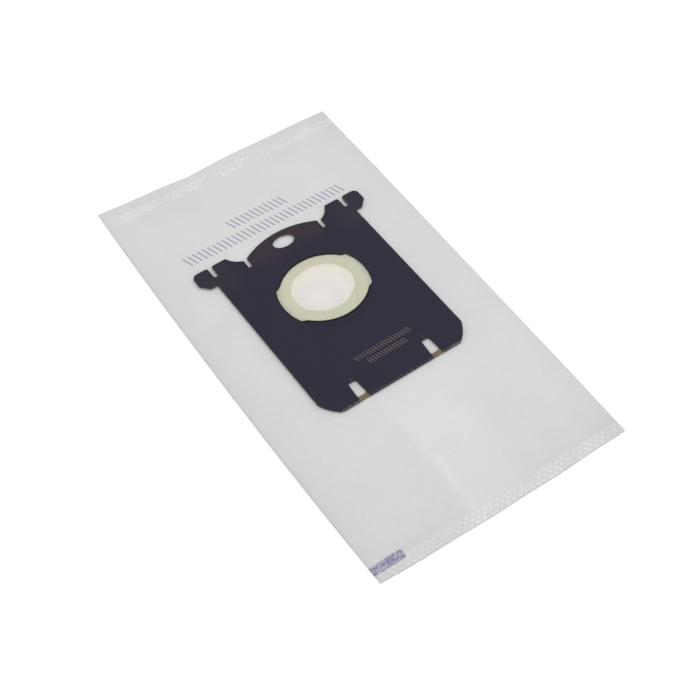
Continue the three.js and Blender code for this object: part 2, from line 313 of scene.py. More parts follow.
# %% Rows and columns
FRONT_COLUMNS = 112
BACK_COLUMNS = 32
FOLD_POINTS = 7
BODY_ROW = 1.6
LIP_ROW = 0.55
LIP_ROWS = 8
WELD_ROW = 0.8
CLOSING_GAP = 0.2
SAME_ROW = 1e-6


def bag_rows():
    bottom = np.arange(-BAG_HALF_LENGTH, BOTTOM_WELD, WELD_ROW)
    top = np.arange(TOP_WELD, BAG_HALF_LENGTH, WELD_ROW)
    lips = LIP_ROW * np.arange(LIP_ROWS)
    low, high = BOTTOM_WELD + LIP_ROW * LIP_ROWS, TOP_WELD - LIP_ROW * LIP_ROWS
    body = np.linspace(low, high, round((high - low) / BODY_ROW), endpoint=False)
    rows = [bottom, BOTTOM_WELD + lips, body, high + lips, top, [BAG_HALF_LENGTH]]
    return np.concatenate(rows)


def front_columns(half):
    """Places from the right fold to the left one, and how far each is from a fold."""
    x = np.linspace(half, -half, FRONT_COLUMNS)
    run = SIDE_RUN - (BAG_HALF_WIDTH - half)
    return x, (half - np.abs(x)) / run


# %% One ring of each skin
def ring_at(y, *parts):
    """The points of a ring, from parts that hold each point's x and z."""
    ring = np.vstack(parts)
    return np.c_[ring[:, 0], np.full(len(ring), y), ring[:, 1]]


def outer_ring(y):
    radius = edge_height(y) / 2
    half = BAG_HALF_WIDTH - radius
    angles = np.linspace(-math.pi / 2, math.pi / 2, FOLD_POINTS, endpoint=False)
    fold = np.c_[half + radius * np.cos(angles), radius + radius * np.sin(angles)]
    x, from_edge = front_columns(half)
    front = np.c_[x, front_height(x, np.full_like(x, y), from_edge)]
    back_x = np.linspace(-half, half, BACK_COLUMNS)[1:-1]
    back = np.c_[back_x, np.zeros_like(back_x)]
    return ring_at(y, fold, front, fold[::-1] * (-1, 1), back)


def inner_ring(y):
    floor = min(FLEECE, (edge_height(y) - CLOSING_GAP) / 2)
    half = BAG_HALF_WIDTH - FOLD_THICKNESS / 2 - FLEECE
    x, from_edge = front_columns(half)
    front = np.c_[x, front_height(x, np.full_like(x, y), from_edge) - floor]
    back_x = np.linspace(-half, half, BACK_COLUMNS)
    back = np.c_[back_x, np.full_like(back_x, floor)]
    return ring_at(y, front, back)


# %% Skins and the hole's cut edge
def tube_quads(rings, count, first):
    """Quads between neighbouring rings; the ring runs on from its last point to its first."""
    r, i = np.meshgrid(np.arange(rings - 1), np.arange(count), indexing="ij")
    a = first + r * count + i
    b = first + r * count + (i + 1) % count
    return np.stack([a, a + count, b + count, b], axis=-1).reshape(-1, 4)


def close_end(points, first, count, start, flipped):
    """Triangles between the upper and the lower half of one end ring, from right to left."""
    upper, lower = start, start - 1
    triangles = []
    while upper + 1 != lower % count:
        next_upper, next_lower = upper + 1, lower - 1
        ahead = points[first + next_upper, 0] - points[first + next_lower % count, 0]
        if ahead > 0:
            triangle = (upper, next_upper, lower)
            upper = next_upper
        else:
            triangle = (upper, next_lower, lower)
            lower = next_lower
        triangle = [first + corner % count for corner in triangle]
        triangles.append(triangle[::-1] if flipped else triangle)
    return triangles


def mark_points(mesh, name, values):
    mesh.attributes.new(name, "FLOAT", "POINT").data.foreach_set("value", values)


def rim_quads(hole, inner_hole):
    """Quads from the border of the outer hole to the same points of the inner one."""
    edges = {}
    for quad, partner in zip(hole.tolist(), inner_hole.tolist()):
        for k in range(4):
            n = (k + 1) % 4
            if edges.pop((quad[n], quad[k]), None) is None:
                edges[(quad[k], quad[n])] = (partner[n], partner[k])
    return [(*edge, *inner_edge) for edge, inner_edge in edges.items()]


def round_off(points, rim):
    """Moves the hole's points onto its circle."""
    middle = np.array((INLET.x, INLET.y))
    for corner in {point for quad in rim for point in quad}:
        out = points[corner, :2] - middle
        points[corner, :2] = middle + out * (FLEECE_HOLE / np.linalg.norm(out))


# %% The whole bag
def bag_mesh():
    rows = bag_rows()
    inner_rows = rows[(rows >= BOTTOM_WELD - SAME_ROW) & (rows <= TOP_WELD + SAME_ROW)]
    outer = np.array([outer_ring(y) for y in rows])
    inner = np.array([inner_ring(y) for y in inner_rows])
    points = np.vstack([outer.reshape(-1, 3), inner.reshape(-1, 3)])
    outer_count, inner_count = outer.shape[1], inner.shape[1]
    inner_first = outer.shape[0] * outer_count
    outer_quads = tube_quads(len(rows), outer_count, 0)
    inner_quads = tube_quads(len(inner_rows), inner_count, inner_first)[:, ::-1]

    centre = points[outer_quads].mean(axis=1)
    from_inlet = np.hypot(centre[:, 0] - INLET.x, centre[:, 1] - INLET.y)
    in_hole = (from_inlet < FLEECE_HOLE) & (centre[:, 2] > BAG_FULLNESS / 2)
    to_inner = inner_first - FOLD_POINTS
    skipped_rows = int(np.searchsorted(rows, BOTTOM_WELD - SAME_ROW))
    hole = outer_quads[in_hole]
    row, column = hole // outer_count, hole % outer_count
    inner_hole = to_inner + (row - skipped_rows) * inner_count + column
    gone = {tuple(sorted(quad)) for quad in inner_hole.tolist()}
    inner_kept = [quad for quad in inner_quads.tolist() if tuple(sorted(quad)) not in gone]
    rim = rim_quads(hole, inner_hole)
    round_off(points, rim)

    last = (len(rows) - 1) * outer_count
    inner_last = inner_first + (len(inner_rows) - 1) * inner_count
    middle = FOLD_POINTS // 2
    caps = close_end(points, 0, outer_count, middle, False)
    caps += close_end(points, last, outer_count, middle, True)
    caps += close_end(points, inner_first, inner_count, 0, True)
    caps += close_end(points, inner_last, inner_count, 0, False)
    faces = outer_quads[~in_hole].tolist() + inner_kept + rim + caps
    mesh = bpy.data.meshes.new("fleece_bag")
    mesh.from_pydata((follow_outline(points) * MM).tolist(), [], faces)
    mesh.validate()
    mark_points(mesh, "inside", (np.arange(len(points)) >= inner_first).astype(np.float32))
    return mesh


# %% Make the bag
def clean_up(obj, angle):
    """Drops unused points, turns faces outwards and keeps edges sharper than the angle."""
    mesh = obj.data
    work = bmesh.new()
    work.from_mesh(mesh)
    bmesh.ops.delete(work, geom=[v for v in work.verts if not v.link_faces], context="VERTS")
    if work.calc_volume(signed=True) < 0:
        bmesh.ops.reverse_faces(work, faces=work.faces)
    for face in work.faces:
        face.smooth = True
    for edge in work.edges:
        edge.smooth = len(edge.link_faces) == 2 and edge.calc_face_angle(0) < angle
    open_edges = sum(not edge.is_contiguous for edge in work.edges)
    work.to_mesh(mesh)
    work.free()
    triangles = sum(len(polygon.vertices) - 2 for polygon in mesh.polygons)
    print(obj.name, "triangles", triangles, "open edges", open_edges)


bag = put_in_scene("fleece_bag", bag_mesh())
clean_up(bag, math.radians(50))

# %% [markdown]
# ## Helpers for node trees
# The weld's marks and the finishes are made by node trees, and a formula of ten nodes is
# hard to read. So a field stands for a number that a tree works out at each place. It adds,
# multiplies and compares like a plain number, and makes its nodes on the way.

# %% Nodes with their inputs
def plug(tree, node, inputs):
    """Links a field or a socket to each named input, or sets the input's own value."""
    for name, value in inputs.items():
        value = getattr(value, "socket", value)
        if isinstance(value, bpy.types.NodeSocket):
            tree.links.new(value, node.inputs[name])
        else:
            node.inputs[name].default_value = value


def new_node(tree, kind, inputs=None, **settings):
    node = tree.nodes.new(kind)
    for name, value in settings.items():
        setattr(node, name, value)
    plug(tree, node, inputs or {})
    return node


def compute(tree, operation, *values):
    node = new_node(tree, "ShaderNodeMath", dict(enumerate(values)), operation=operation)
    return Field(tree, node.outputs[0])


# %% A field
def operator(operation):
    """A method that puts a field and any other value into one math node."""
    return lambda field, *others: compute(field.tree, operation, field, *others)


class Field:
    """A number that a tree works out at each place."""

    __add__ = operator("ADD")
    __sub__ = operator("SUBTRACT")
    __mul__ = operator("MULTIPLY")
    __truediv__ = operator("DIVIDE")
    __mod__ = operator("MODULO")
    __gt__ = operator("GREATER_THAN")
    __lt__ = operator("LESS_THAN")
    __abs__ = operator("ABSOLUTE")

    def __init__(self, tree, socket):
        self.tree = tree
        self.socket = socket

    def between(self, low, high):
        return (self > low) * (self < high)

    def ramp(self, start, end, low=0.0, high=1.0):
        """Turns softly from low to high while the field runs from start to end."""
        places = {"Value": self, "From Min": start, "From Max": end, "To Min": low, "To Max": high}
        soft = new_node(self.tree, "ShaderNodeMapRange", places, interpolation_type="SMOOTHSTEP")
        return Field(self.tree, soft.outputs["Result"])


def distance(x, y):
    square = compute(x.tree, "POWER", x, 2.0) + compute(y.tree, "POWER", y, 2.0)
    return compute(x.tree, "SQRT", square)


# %% Groups
def new_group(name, tree_type, inputs, output):
    """A node group, what it is given as fields by name, and its output node."""
    tree = bpy.data.node_groups.new(name, tree_type)
    add = tree.interface.new_socket
    for label, kind, value in inputs:
        socket = add(label, in_out="INPUT", socket_type="NodeSocket" + kind)
        if value is not None:
            socket.default_value = value
    add(output[0], in_out="OUTPUT", socket_type="NodeSocket" + output[1])
    sockets = tree.nodes.new("NodeGroupInput").outputs
    given = {socket.name: Field(tree, socket) for socket in sockets if socket.name}
    return tree, given, tree.nodes.new("NodeGroupOutput")


# %% [markdown]
# ### Marks of the weld
# The welding tool has a pattern, and it leaves staggered rows of small raised lozenges in
# the pressed bands. They repeat, so Geometry Nodes make them: a grid of points, every
# second row moved by half a pitch, and one low lozenge on each point. The fleece takes the
# pattern unevenly, so each lozenge is turned and sized a little by chance. The result is
# joined to the bag, because the marks are part of the same fleece.

# %% A node group for rows of marks
SMALLEST_MARK = (0.5, 0.6, 0.3)
LARGEST_MARK = (1.4, 1.3, 1.25)
MARK_TURN = 0.45
LOZENGE = {"Radius": 1, "Segments": 8, "Rings": 4}
MARK_INPUTS = [
    ("Geometry", "Geometry", None), ("Pitch", "Float", 0.004), ("Row Step", "Float", 0.0025),
    ("Columns", "Int", 38), ("Rows", "Int", 3), ("Middle", "Vector", (0, 0, 0)),
    ("Size", "Vector", (0.001, 0.001, 0.001)), ("Slant", "Rotation", None),
    ("Seed", "Int", 5), ("Material", "Material", None),
]


def by_chance(tree, low, high, seed):
    """A vector drawn for each point, between two others."""
    bounds = {0: low, 1: high, "Seed": seed}
    return new_node(tree, "FunctionNodeRandomValue", bounds, data_type="FLOAT_VECTOR").outputs[0]


def weld_marks_tree():
    tree, given, result = new_group(
        "weld_marks", "GeometryNodeTree", MARK_INPUTS, ("Geometry", "Geometry")
    )
    columns, rows, seed = given["Columns"], given["Rows"], given["Seed"]
    line = new_node(tree, "GeometryNodeMeshLine", {"Count": columns * rows})
    index = Field(tree, tree.nodes.new("GeometryNodeInputIndex").outputs[0])
    row = compute(tree, "FLOOR", index / columns)
    column = index % columns + (row % 2.0) * 0.5
    x = (column - (columns - 0.5) / 2.0) * given["Pitch"]
    y = (row - (rows - 1.0) / 2.0) * given["Row Step"]
    flat = new_node(tree, "ShaderNodeCombineXYZ", {"X": x, "Y": y}).outputs[0]
    place = new_node(tree, "ShaderNodeVectorMath", {0: flat, 1: given["Middle"]}).outputs[0]
    points = {"Geometry": line.outputs["Mesh"], "Position": place}
    grid = new_node(tree, "GeometryNodeSetPosition", points).outputs[0]

    lozenge = new_node(tree, "GeometryNodeMeshUVSphere", LOZENGE).outputs["Mesh"]
    form = {"Geometry": lozenge, "Scale": given["Size"], "Rotation": given["Slant"]}
    pressed = new_node(tree, "GeometryNodeTransform", form).outputs[0]
    marks = {
        "Points": grid,
        "Instance": pressed,
        "Rotation": by_chance(tree, (0, 0, -MARK_TURN), (0, 0, MARK_TURN), seed),
        "Scale": by_chance(tree, SMALLEST_MARK, LARGEST_MARK, seed),
    }
    spread = new_node(tree, "GeometryNodeInstanceOnPoints", marks).outputs[0]
    real = new_node(tree, "GeometryNodeRealizeInstances", {0: spread}).outputs[0]
    finish = {"Geometry": real, "Material": given["Material"]}
    painted = new_node(tree, "GeometryNodeSetMaterial", finish).outputs[0]
    plug(tree, result, {"Geometry": painted})
    return tree


MARKS_TREE = weld_marks_tree()
print("nodes for the marks", len(MARKS_TREE.nodes))

# %% [markdown]
# ## Shader groups
# Three effects return in several finishes, so each is a node group with named inputs:
# fine unevenness for a bump, soft clouds that vary a colour, and rows of slanted
# strokes, which stand for the plain print on the fleece and on the collar.

# %% Helpers for shader trees
def mix_colours(tree, factor, first, second, way="MIX"):
    sides = {"Factor": factor, "A": first, "B": second}
    mix = new_node(tree, "ShaderNodeMix", sides, data_type="RGBA", blend_type=way)
    return mix.outputs["Result"]


def noise(tree, place, scale, detail, roughness=0.5):
    look = {"Vector": place, "Scale": scale, "Detail": detail, "Roughness": roughness}
    return Field(tree, new_node(tree, "ShaderNodeTexNoise", look).outputs["Fac"])


def use(tree, group, **values):
    """What a group gives for these values."""
    return Field(tree, new_node(tree, "ShaderNodeGroup", values, node_tree=group).outputs[0])


# %% The three groups
STRAND_ANGLES = (0.3, 1.35, 2.4)
STRAND_STRETCH = (1, 0.3, 1)
STROKE_INPUTS = {
    "Across": 0.0, "Along": 0.0, "Left": -10.0, "Right": 10.0, "Low": 0.0, "High": 5.0,
    "Pitch": 3.0, "Stroke": 0.4, "Slant": 0.35,
}


def clouds_group():
    """Soft lighter and darker clouds around 1, to multiply a colour with."""
    tree, given, result = new_group(
        "soft clouds",
        "ShaderNodeTree",
        [("Vector", "Vector", (0, 0, 0)), ("Size", "Float", 20.0), ("Amount", "Float", 0.03)],
        ("Shade", "Float"),
    )
    scale = compute(tree, "DIVIDE", 1 / MM, given["Size"])
    clouds = noise(tree, given["Vector"], scale, 4.0, 0.55)
    plug(tree, result, {"Shade": (clouds - 0.5) * 2.0 * given["Amount"] + 1.0})
    return tree


def fibres_group():
    """Height of a felted surface: short fibres lying every way, in two sizes."""
    tree, given, result = new_group(
        "felted fibres",
        "ShaderNodeTree",
        [("Vector", "Vector", (0, 0, 0)), ("Size", "Float", 0.6)],
        ("Height", "Float"),
    )
    scale = compute(tree, "DIVIDE", 1 / MM, given["Size"])
    total = noise(tree, given["Vector"], scale * 0.35, 3.0)
    for angle in STRAND_ANGLES:
        turn = {"Vector": given["Vector"], "Rotation": (0, 0, angle), "Scale": STRAND_STRETCH}
        turned = new_node(tree, "ShaderNodeMapping", turn).outputs[0]
        total = total + noise(tree, turned, scale, 2.0, 0.6)
    plug(tree, result, {"Height": total})
    return tree


def strokes_group():
    """1 on a row of slanted printed strokes: a plain hatch inside a rectangle."""
    inputs = [(name, "Float", value) for name, value in STROKE_INPUTS.items()]
    tree, given, result = new_group("row of strokes", "ShaderNodeTree", inputs, ("Mask", "Float"))
    slid = given["Along"] * given["Slant"] + given["Across"]
    phase = compute(tree, "FRACT", slid / given["Pitch"])
    inside = slid.between(given["Left"], given["Right"])
    level = given["Along"].between(given["Low"], given["High"])
    plug(tree, result, {"Mask": (phase < given["Stroke"]) * inside * level})
    return tree


CLOUDS = clouds_group()
FIBRES = fibres_group()
STROKES = strokes_group()
print("shader groups", [group.name for group in (CLOUDS, FIBRES, STROKES)])


# %% Groups used several times over
def clouded(tree, place, *layers):
    """Clouds multiplied together; a layer is their size in mm and how strong they are."""
    shade = 1.0
    for size, amount in layers:
        shade = use(tree, CLOUDS, Vector=place, Size=size, Amount=amount) * shade
    return shade


def stroke_rows(tree, x, y, rows, look):
    first, second = (use(tree, STROKES, Across=x, Along=y, **row, **look) for row in rows)
    return compute(tree, "MAXIMUM", first, second)


# %% [markdown]
# ## Fleece
# The outside is off-white non-woven fleece: matt, with fine fibres lying every way and
# a hardly visible cloudiness. The print on it is pale and violet. Two rows of plain
# strokes and one plain bar at the lower left corner stand in for it, and the bar is
# printed over the weld, so its marks show through a little lighter. The weld's marks are
# painted whiter in patches, partly for their pressed fleece and partly as a painted sheen.
# Right of the crease the walls lie double, and painted light makes that side lighter;
# painted shade darkens the fleece a little along its folds and welds and beside the
# collar, and painted light lifts it round the collar's tongue. The inside is whiter.
# Light also reaches it through the front wall and through the elastic film, so it is
# less dark below the collar than in a closed box, and yellowish under the film: a painted
# yellow in the inner skin's colour and a soft glow on the inner skin, painted light,
# stand for that.

# %% Start of a material
def new_material(name):
    """A material with its tree, its shader and each place on the object, in metres."""
    material = bpy.data.materials.new(name)
    material.use_nodes = True
    tree = material.node_tree
    place = tree.nodes.new("ShaderNodeTexCoord").outputs["Object"]
    return material, tree, tree.nodes["Principled BSDF"], place


def split_mm(tree, place):
    """The three parts of a place, in millimetres."""
    scaling = {0: place, "Scale": 1 / MM}
    scaled = new_node(tree, "ShaderNodeVectorMath", scaling, operation="SCALE").outputs[0]
    parts = new_node(tree, "ShaderNodeSeparateXYZ", {0: scaled}).outputs
    return [Field(tree, part) for part in parts]


def add_bump(tree, shader, height, strength, depth):
    form = {"Height": height, "Strength": strength, "Distance": depth}
    bump = new_node(tree, "ShaderNodeBump", form).outputs["Normal"]
    plug(tree, shader, {"Normal": bump})


# %% [markdown]
# ### Painted light and shade on the front wall
# The light and shade that welds, folds, the crease and the collar give the front wall are
# painted into its colour: each place gets its painted light or shade as a share of the
# fleece's colour, and 0.02 is two per cent lighter. Fleece also lets some light through,
# and real light through thin walls would be noisy and slow. A pair of places is where a
# shade starts and where it is full, and a pair of shades is what it has at both.

# %% Painted shade along welds and folds
TOP_EDGE = BAG_HALF_LENGTH - TOP_SELVAGE
BAND_SHADE = 0.022
BAND_START = (-78, -66)
SELVAGE_RUN, SELVAGE_SHADES = (12, 50), (-0.008, -0.040)
WELD_SHADE_MIDDLE, WELD_SHADE_RUN, WELD_SHADE_LEAST = 3, (14, 34), 0.35
ABOVE_BOTTOM_RUN, ABOVE_BOTTOM_SHADE = 20, -0.040
BELOW_TOP_RUN, BELOW_TOP_SHADE = (20, 3), -0.026
RIGHT_RUN, RIGHT_ENDS, RIGHT_SHADES = (58, 80), (45, 90), (-0.036, -0.054)
LEFT_RUN, LEFT_SHADES, LEFT_FADE = (-1.5, 4.0), (-0.030, 0.015), (-58, -66)
LOW_LEFT_SHADE, LOW_LEFT_X, LOW_LEFT_Y = -0.038, (-46, -72), (-45, -72)


def edge_shades(x, y):
    # A lighter top band, a darker bottom band and selvage, painted shade beside both welds and at
    # the lower left, and painted light and shade along both folds.
    top_band = y.between(TOP_WELD + 0.3, TOP_EDGE) * x.ramp(*BAND_START)
    bands = (top_band - (y < BOTTOM_WELD)) * BAND_SHADE
    selvage = (y > TOP_EDGE) * abs(x).ramp(*SELVAGE_RUN, *SELVAGE_SHADES)
    off_middle = abs(x - WELD_SHADE_MIDDLE).ramp(*WELD_SHADE_RUN, WELD_SHADE_LEAST)
    bottom_end = BOTTOM_WELD + ABOVE_BOTTOM_RUN
    by_bottom = (y > BOTTOM_WELD) * y.ramp(BOTTOM_WELD, bottom_end, ABOVE_BOTTOM_SHADE, 0)
    top_start, top_full = (TOP_WELD - run for run in BELOW_TOP_RUN)
    by_top = (y < TOP_WELD) * y.ramp(top_start, top_full, 0, BELOW_TOP_SHADE)
    by_right = x.ramp(*RIGHT_RUN, 0, abs(y).ramp(*RIGHT_ENDS, *RIGHT_SHADES))
    left_start, left_full = (run - BAG_HALF_WIDTH for run in LEFT_RUN)
    by_left = x.ramp(left_start, left_full, *LEFT_SHADES) * x.ramp(*LEFT_FADE)
    low_left = x.ramp(*LOW_LEFT_X) * y.ramp(*LOW_LEFT_Y) * LOW_LEFT_SHADE
    return bands + selvage + (by_bottom + by_top) * off_middle + by_right + by_left + low_left


# %% Painted light and shade round the collar
TONGUE_SHADE, TONGUE_SIDE = 0.055, (38, 28)
TONGUE_LOW, TONGUE_HIGH = (22, 32), (56, 45)
BOARD_SHADOW_SHADE, BOARD_SHADOW_SIDE = -0.045, (-58, -50)
BOARD_SHADOW_HIGH, BOARD_SHADOW_LOW = (22, 10), (-56, -44)


def round_tongue(x, y):
    """Painted light: the fleece is lifted round the collar's tongue and under its finger hole,
    where the collar shades it.
    """
    above = y - INLET.y
    lightened = abs(x - INLET.x).ramp(*TONGUE_SIDE) * above.ramp(*TONGUE_LOW)
    return lightened * above.ramp(*TONGUE_HIGH) * TONGUE_SHADE


def by_board(x, y):
    """A painted soft shadow on the fleece along the collar's left side."""
    from_left = y * TURN_SIN + x
    board_shadow = from_left.ramp(*BOARD_SHADOW_SIDE) * y.ramp(*BOARD_SHADOW_HIGH) * y.ramp(*BOARD_SHADOW_LOW) * (x < 0)
    return board_shadow * BOARD_SHADOW_SHADE


# %% Painted light by the crease
OVERLAP_SHADE, OVERLAP_LEFT, OVERLAP_RIGHT = 0.036, (-1.5, 2.5), (31, 5)
OVERLAP_TOP = (-50, -60)
TURNED_SHADE, TURNED_SIDE, TURNED_TOP = 0.018, (9, 2), (-92, -104)
LOWER_TOP, LOWER_RUN, LOWER_SHADES = (-45, -66), (-104, -84), (0.016, 0.022)


def crease_shades(x, y):
    """Painted light: the whole lower end is lit a little more, and most right of the crease, where
    the walls lie double and the flank turns to the light.
    """
    past_lean = compute(y.tree, "MAXIMUM", y - CREASE_LEAN_FROM, 0)
    from_crease = past_lean * CREASE_LEAN + x - CREASE_X
    double_and_lit = from_crease.ramp(*OVERLAP_LEFT) * x.ramp(*OVERLAP_RIGHT) * y.ramp(*OVERLAP_TOP)
    turned = from_crease.ramp(*TURNED_SIDE) * y.ramp(*TURNED_TOP) * TURNED_SHADE
    lit = double_and_lit * (turned + OVERLAP_SHADE) + y.ramp(*LOWER_RUN, *LOWER_SHADES)
    return lit * y.ramp(*LOWER_TOP)


# %% Print on the fleece
PRINT_COLOUR = (0.40, 0.372, 0.48, 1)
BAR_COLOUR = (0.265, 0.235, 0.38, 1)
LONG_ROW = {"Left": -30.4, "Right": 79.0, "Low": 76.4, "High": 83.8}
SHORT_ROW = {"Left": 8.0, "Right": 49.0, "Low": 87.6, "High": 95.0}
FLEECE_STROKES = {"Pitch": 3.3, "Stroke": 0.34, "Slant": 0.35}
BAR_X, BAR_Y = (-90.0, -60.8), (-141.0, -135.9)
SMUDGE_RIGHT, SMUDGE_INK = -63.0, 0.06
SPECKLES_PER_METRE, SPECKLE_RUN, SPECKLE_INK = 620.0, (0.46, 0.60), (0.95, 0.50)
INK_OFF_MARKS = -0.22
FRONT_FROM = 0.6


def fleece_print(tree, place, pressed, colour):
    """The strokes and the bar over a colour, on the front wall only."""
    x, y, z = split_mm(tree, place)
    on_front = z > FRONT_FROM
    strokes = stroke_rows(tree, x, y, (LONG_ROW, SHORT_ROW), FLEECE_STROKES) * on_front
    colour = mix_colours(tree, strokes, colour, PRINT_COLOUR)
    speckle = noise(tree, place, SPECKLES_PER_METRE, 2.0).ramp(*SPECKLE_RUN, *SPECKLE_INK)
    bar = x.between(*BAR_X) * y.between(*BAR_Y) * on_front
    darkening = bar * (pressed * INK_OFF_MARKS + speckle)
    smudge = x.between(BAR_X[0], SMUDGE_RIGHT) * (y < BAR_Y[0]) * SMUDGE_INK
    return mix_colours(tree, smudge + darkening, colour, BAR_COLOUR)


# %% Inside of the bag
INSIDE_COLOUR = (0.803, 0.770, 0.757, 1)
FILM_LIGHT_TINT = (0.85, 0.83, 0.78, 1)
THROUGH_FLEECE_LIGHT = (0.38, 0.370, 0.350, 1)
THROUGH_FILM_LIGHT = (0.42, 0.405, 0.355, 1)
NO_LIGHT = (0, 0, 0, 1)
FILM_OVAL = {"middle": (1.5, 1.2), "radii": (15.0, 11.0)}
GLOW_OVAL = {"middle": (-4.0, -0.8), "radii": (19.6, 16.4)}
FILM_OVAL_RIM = (0.8, 1.7)
GLOW_RIM, GLOW_IN_MIDDLE = (0.65, 1.35), 0.12
GLOW_END = (1.80, 1.45)


def from_oval(x, y, middle, radii):
    """0 in the middle of an oval and 1 on it; the middle is measured from the inlet's."""
    across = (x - (INLET.x + middle[0])) / radii[0]
    return distance(across, (y - (INLET.y + middle[1])) / radii[1])


def inside_finish(tree, place, inner):
    """Colour of the inner skin, painted yellowish under the film, and a glow, painted light, for
    the light that comes to it through film and fleece.
    """
    x, y = split_mm(tree, place)[:2]
    # Under the film the inner skin's colour takes a painted yellow: painted light that comes
    # through the film.
    filtered = from_oval(x, y, **FILM_OVAL).ramp(*FILM_OVAL_RIM)
    colour = mix_colours(tree, filtered, INSIDE_COLOUR, FILM_LIGHT_TINT)
    light = mix_colours(tree, filtered, THROUGH_FLEECE_LIGHT, THROUGH_FILM_LIGHT)
    glow = from_oval(x, y, **GLOW_OVAL)
    through = glow.ramp(*GLOW_RIM, GLOW_IN_MIDDLE) * glow.ramp(*GLOW_END) * inner
    return colour, mix_colours(tree, through, NO_LIGHT, light)


# %% Fleece material
FLEECE_COLOUR = (0.702, 0.700, 0.700, 1)
PRESSED_WHITE_AND_SHEEN = (0.83, 0.83, 0.82, 1)
END_FACE_SHADOW, END_FACE_HEIGHT = -0.14, (0.05, 1.1)
FLEECE_CLOUDS = (26.0, 0.035), (2.2, 0.045)
PATCHES_PER_METRE, PATCH_RUN, PATCH_LEAST = 60.0, (0.38, 0.62), 0.15
FLEECE_BUMP = {"strength": 0.12, "depth": 0.2 * MM}


def attribute(tree, name):
    return Field(tree, new_node(tree, "ShaderNodeAttribute", attribute_name=name).outputs["Fac"])


def fleece_shade(tree, place):
    """All painted light and shade of the outside multiplied together, with clouds in two sizes."""
    x, y, z = split_mm(tree, place)
    shade = clouded(tree, place, *FLEECE_CLOUDS)
    # A painted contact shadow on the bag's bottom end, low by the floor.
    end_shadow = z.between(*END_FACE_HEIGHT) * (y < -BAG_HALF_LENGTH) * END_FACE_SHADOW
    changes = [places(x, y) for places in (crease_shades, edge_shades, by_board, round_tongue)]
    for change in (*changes, end_shadow):
        shade = shade * (change + 1)
    return shade


def fleece_material():
    material, tree, shader, place = new_material("fleece")
    pressed = attribute(tree, "pressed")
    inner = attribute(tree, "inside")
    patches = noise(tree, place, PATCHES_PER_METRE, 3.0).ramp(*PATCH_RUN, PATCH_LEAST)
    # The weld's marks are painted whiter in patches: partly their pressed fleece, partly a painted
    # sheen.
    whitened_and_sheen = pressed * patches
    base = mix_colours(tree, whitened_and_sheen, FLEECE_COLOUR, PRESSED_WHITE_AND_SHEEN)
    printed = fleece_print(tree, place, pressed, base)
    outside = mix_colours(tree, 1.0, printed, fleece_shade(tree, place), "MULTIPLY")
    inside, light = inside_finish(tree, place, inner)
    finish = {
        "Base Color": mix_colours(tree, inner, outside, inside),
        "Emission Color": light,
        "Emission Strength": 1.0,
        "Roughness": 0.92,
        "Specular IOR Level": 0.25,
        "Sheen Weight": 0.08,
        "Sheen Roughness": 0.5,
    }
    plug(tree, shader, finish)
    add_bump(tree, shader, use(tree, FIBRES, Vector=place, Size=0.5), **FLEECE_BUMP)
    return material


FLEECE_MATERIAL = fleece_material()
bag.data.materials.append(FLEECE_MATERIAL)
print("fleece material nodes", len(FLEECE_MATERIAL.node_tree.nodes))


# %% [markdown]
# ### Marks on both bands
# The marks' tree is run once for each band on a small carrier mesh. A modifier's inputs are
# set by their identifiers. The finished marks become a plain mesh and are joined to the bag.

# %% Make the marks
MARK_PITCH = 4.0
MARK_ROWS = 3
MARK_SIZE = (1.9, 0.62, 0.09)
MARK_SLANT = math.radians(-35)
BOTTOM_MARKS = (-76, 76)
TOP_MARKS = (-70, 77)


def baked(obj):
    """The object's mesh with its modifiers applied."""
    evaluated = obj.evaluated_get(bpy.context.evaluated_depsgraph_get())
    return bpy.data.meshes.new_from_object(evaluated)


def make_marks(name, low, high, left, right):
    carrier = put_in_scene(name + "_carrier", bpy.data.meshes.new(name + "_carrier"))
    modifier = carrier.modifiers.new("marks", "NODES")
    modifier.node_group = MARKS_TREE
    values = {
        "Pitch": MARK_PITCH * MM,
        "Row Step": (high - low) / MARK_ROWS * MM,
        "Columns": round((right - left) / MARK_PITCH),
        "Rows": MARK_ROWS,
        "Middle": Vector(((left + right) / 2, (low + high) / 2, WELD_THICKNESS)) * MM,
        "Size": Vector(MARK_SIZE) * MM,
        "Slant": Euler((0, 0, MARK_SLANT)),
        "Material": FLEECE_MATERIAL,
    }
    for item in MARKS_TREE.interface.items_tree:
        if item.in_out == "INPUT" and item.name in values:
            modifier[item.identifier] = values[item.name]
    mesh = baked(carrier)
    bpy.data.objects.remove(carrier)
    points = follow_outline(np.array([v.co for v in mesh.vertices]) / MM)
    mesh.vertices.foreach_set("co", (points * MM).astype(np.float32).ravel())
    mesh.shade_smooth()
    mark_points(mesh, "pressed", np.ones(len(points), np.float32))
    print(name, "faces", len(mesh.polygons))
    return put_in_scene(name, mesh)


def join(target, *others):
    for obj in bpy.context.selected_objects:
        obj.select_set(False)
    for obj in (target, *others):
        obj.select_set(True)
    bpy.context.view_layer.objects.active = target
    bpy.ops.object.join()


bottom_marks = make_marks("bottom_marks", -BAG_HALF_LENGTH, BOTTOM_WELD, *BOTTOM_MARKS)
top_marks = make_marks("top_marks", TOP_WELD, TOP_WELD + TOP_BAND, *TOP_MARKS)
join(bag, bottom_marks, top_marks)
print("bag with marks, points", len(bag.data.vertices))

# %% [markdown]
# ## The collar
# The collar is die-cut board, printed dark navy on its outside and folded double. Its shape
# in the CAD model is exact, so the visual one starts as a copy of that node. The copy's
# loose triangles are merged into clean faces, and a narrow bevel rounds the cut edges,
# because board is crushed a little where the die cuts it.

# %% Make the collar
EDGE_ROUND = 0.16
SAME_POINT = 1e-6


